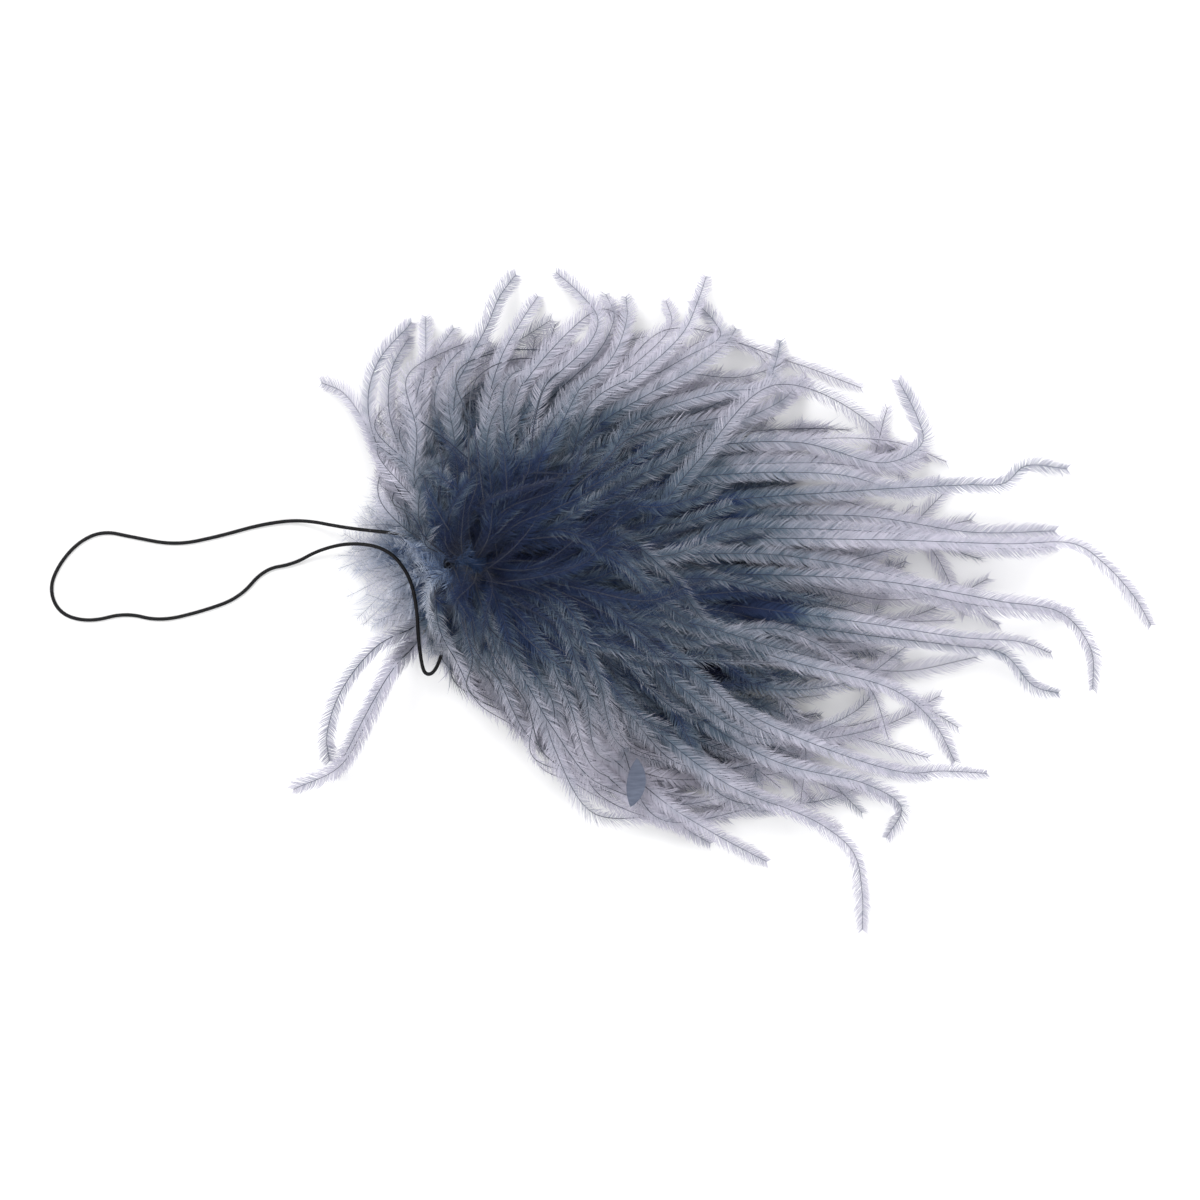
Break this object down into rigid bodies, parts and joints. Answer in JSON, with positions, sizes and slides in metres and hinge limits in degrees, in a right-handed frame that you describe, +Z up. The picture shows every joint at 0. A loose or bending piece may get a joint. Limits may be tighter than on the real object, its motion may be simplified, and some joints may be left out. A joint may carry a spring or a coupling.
{
  "type": "feather boa",
  "caption": "Short dense fan of slate-blue ostrich strands with downy butts, bound onto a thin black elastic loop, for hanging or slipping on as costume trim.",
  "frame": {"origin": "under the middle of the plume's box, without the elastic cord, on the surface that it lies on", "axes": "+X along the plume from its tie towards the longest tips, +Y across it, +Z up from the surface"},
  "size_m": [0.275, 0.164, 0.0443],
  "materials": {
    "feather": "matte",
    "down": "matte",
    "quill": "satin",
    "tape": "matte",
    "thread": "matte",
    "glue": "satin",
    "elastic": "satin"
  },
  "bodies": {
    "binding": {"quill_butts": "quill", "binding_tape": "tape", "binding_thread": "thread", "glue_cap": "glue", "elastic_hitch": "elastic", "down_upper": "down", "down_left": "down", "down_lower": "down", "tuft_right": "feather", "tuft_right_low": "feather", "stem_right": "quill", "stem_right_low": "quill"},
    "crown": {"crown_right": "feather", "crown_low": "feather", "stem_crown": "quill"},
    "fan_upper_left": {"tuft_upper_left": "feather", "top_tuft_upper_left": "feather", "stem_upper_left": "quill"},
    "fan_top": {"tuft_top": "feather", "top_tuft_top": "feather", "stem_top": "quill"},
    "fan_upper_right": {"tuft_upper_right": "feather", "top_tuft_upper_right": "feather", "stem_upper_right": "quill"},
    "fan_right_high": {"tuft_right_high": "feather", "top_tuft_right_high": "feather", "stem_right_high": "quill"},
    "fan_lower_right": {"tuft_lower_right": "feather", "top_tuft_lower_right": "feather", "stem_lower_right": "quill"},
    "fan_lower": {"tuft_lower": "feather", "top_tuft_lower": "feather", "stem_lower": "quill", "bare_shaft_tip": "quill"},
    "fan_bottom": {"tuft_bottom": "feather", "stem_bottom": "quill", "wisp_lower_left": "feather"},
    "knot": {"elastic_knot": "elastic"},
    "elastic": {"elastic_loop": "elastic"}
  },
  "joints": [
    {"name": "plume_spread", "type": "hinge", "parent": "binding", "child": "fan_upper_left", "pos_m": [-0.0631, 0.00875, 0.011], "axis": [0, 0, 1], "range_deg": [-8, 8], "stiffness_Nm_per_rad": 0.002},
    {"name": "top_spread", "type": "hinge", "parent": "binding", "child": "fan_top", "pos_m": [-0.0631, 0.00875, 0.011], "axis": [0, 0, 1], "range_deg": [-6.6, 6.6], "stiffness_Nm_per_rad": 0.002},
    {"name": "upper_right_spread", "type": "hinge", "parent": "binding", "child": "fan_upper_right", "pos_m": [-0.0631, 0.00875, 0.011], "axis": [0, 0, 1], "range_deg": [-4.6, 4.6], "stiffness_Nm_per_rad": 0.002},
    {"name": "right_high_spread", "type": "hinge", "parent": "binding", "child": "fan_right_high", "pos_m": [-0.0631, 0.00875, 0.011], "axis": [0, 0, 1], "range_deg": [-2.5, 2.5], "stiffness_Nm_per_rad": 0.002},
    {"name": "lower_right_spread", "type": "hinge", "parent": "binding", "child": "fan_lower_right", "pos_m": [-0.0631, 0.00875, 0.011], "axis": [0, 0, 1], "range_deg": [-2.5, 2.5], "stiffness_Nm_per_rad": 0.002},
    {"name": "lower_spread", "type": "hinge", "parent": "binding", "child": "fan_lower", "pos_m": [-0.0631, 0.00875, 0.011], "axis": [0, 0, 1], "range_deg": [-5, 5], "stiffness_Nm_per_rad": 0.002},
    {"name": "bottom_spread", "type": "hinge", "parent": "binding", "child": "fan_bottom", "pos_m": [-0.0631, 0.00875, 0.011], "axis": [0, 0, 1], "range_deg": [-7.4, 7.4], "stiffness_Nm_per_rad": 0.002},
    {"name": "crown_lift", "type": "hinge", "parent": "binding", "child": "crown", "pos_m": [-0.0631, 0.00875, 0.0182], "axis": [0, -1, 0], "range_deg": [0, 22], "stiffness_Nm_per_rad": 0.004},
    {"name": "elastic_swing", "type": "hinge", "parent": "binding", "child": "knot", "pos_m": [-0.0735, 0.00925, 0.013], "axis": [0, 0, 1], "range_deg": [-10, 10]},
    {"name": "elastic_lift", "type": "hinge", "parent": "knot", "child": "elastic", "pos_m": [-0.0735, 0.00925, 0.013], "axis": [0, 1, 0], "range_deg": [0, 70]}
  ],
  "couplings": [
    {"joint": "top_spread", "follows": "plume_spread", "ratio": 0.8},
    {"joint": "upper_right_spread", "follows": "plume_spread", "ratio": 0.55},
    {"joint": "right_high_spread", "follows": "plume_spread", "ratio": 0.3},
    {"joint": "lower_right_spread", "follows": "plume_spread", "ratio": -0.3},
    {"joint": "lower_spread", "follows": "plume_spread", "ratio": -0.6},
    {"joint": "bottom_spread", "follows": "plume_spread", "ratio": -0.9}
  ]
}
